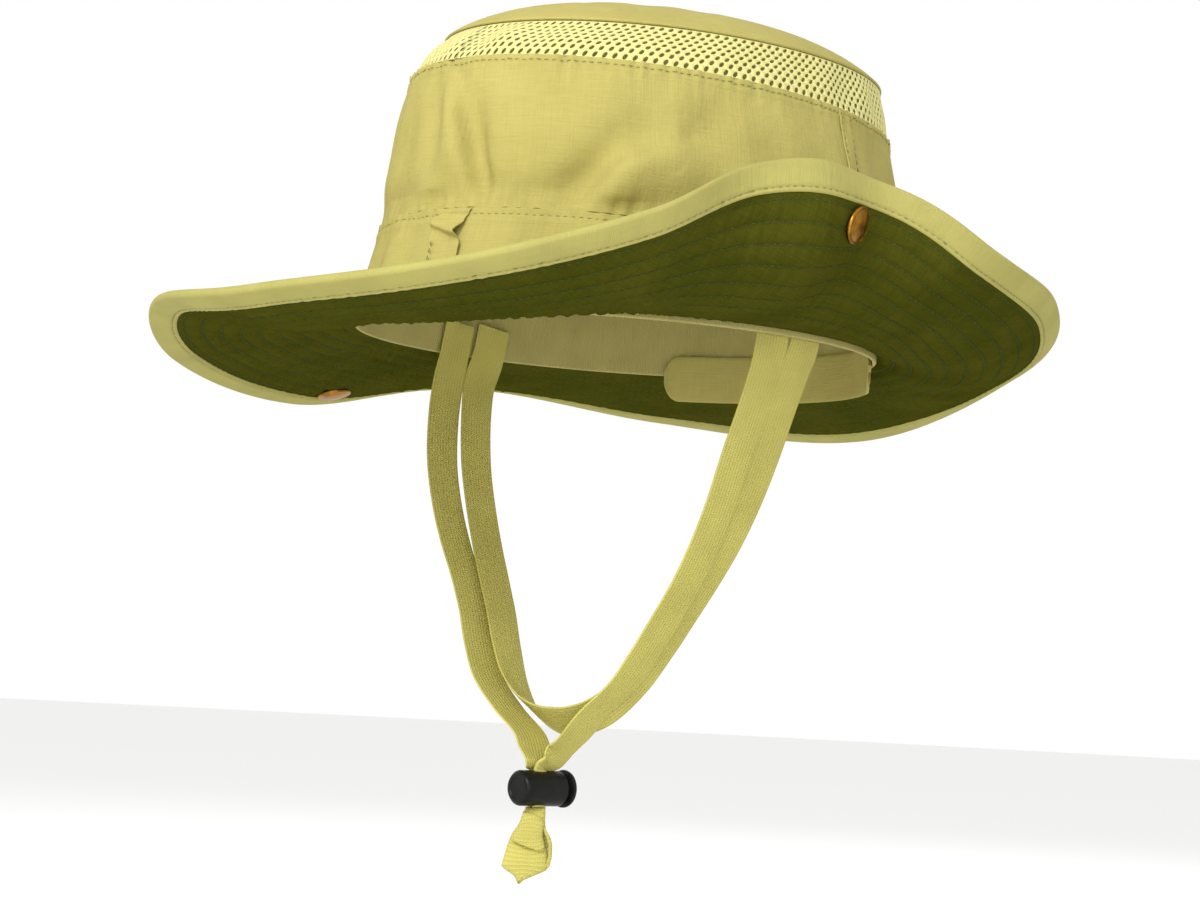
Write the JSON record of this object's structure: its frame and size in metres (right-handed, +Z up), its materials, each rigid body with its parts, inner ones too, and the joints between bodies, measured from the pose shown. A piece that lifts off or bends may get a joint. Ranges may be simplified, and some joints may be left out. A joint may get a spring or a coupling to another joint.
{
  "type": "outback hat",
  "caption": "Cloth sun hat with a net vent round the crown, a stitched wide brim turned up at one side, press snaps and a braid chin strap with a cord lock.",
  "frame": {"origin": "middle of the head opening, level with the seam of crown and brim", "axes": "+Z up through the crown, the front of the hat towards -Y, the wearer's left towards +X"},
  "size_m": [0.3037, 0.351, 0.3129],
  "materials": {
    "khaki_cloth": "plain woven nylon, matt, softly creased",
    "olive_cloth": "dark olive plain weave with rows of green stitching",
    "binding_tape": "folded light khaki tape",
    "vent_net": "pale yellow warp-knit net",
    "sweatband_cloth": "soft woven tape",
    "strap_braid": "flat ribbed braid",
    "snap_brass": "aged brass, satin",
    "lock_plastic": "moulded black plastic, satin"
  },
  "bodies": {
    "hat": {"brim_top_ply": "khaki_cloth", "brim_under_ply": "olive_cloth", "brim_binding": "binding_tape", "crown_band": "khaki_cloth", "crown_front_panel": "khaki_cloth", "crown_back_panel": "khaki_cloth", "side_seam_left": "khaki_cloth", "side_seam_right": "khaki_cloth", "vent_net": "vent_net", "crown_tip": "khaki_cloth", "sweatband": "sweatband_cloth", "back_tab": "binding_tape", "snap_left": "snap_brass", "snap_right": "snap_brass", "stud_left": "snap_brass", "stud_right": "snap_brass", "front_strap_left": "strap_braid", "front_strap_right": "strap_braid", "under_chin_strap": "strap_braid", "lock_barrel": "lock_plastic", "strap_knot": "strap_braid"},
    "lock_button": {"lock_plunger": "lock_plastic"}
  },
  "joints": [
    {"name": "lock_press", "type": "slide", "parent": "hat", "child": "lock_button", "axis": [0.0523, 0.9986, 0], "range_m": [-0.0018, 0], "stiffness_N_per_m": 500, "springref_m": 0.0015}
  ]
}
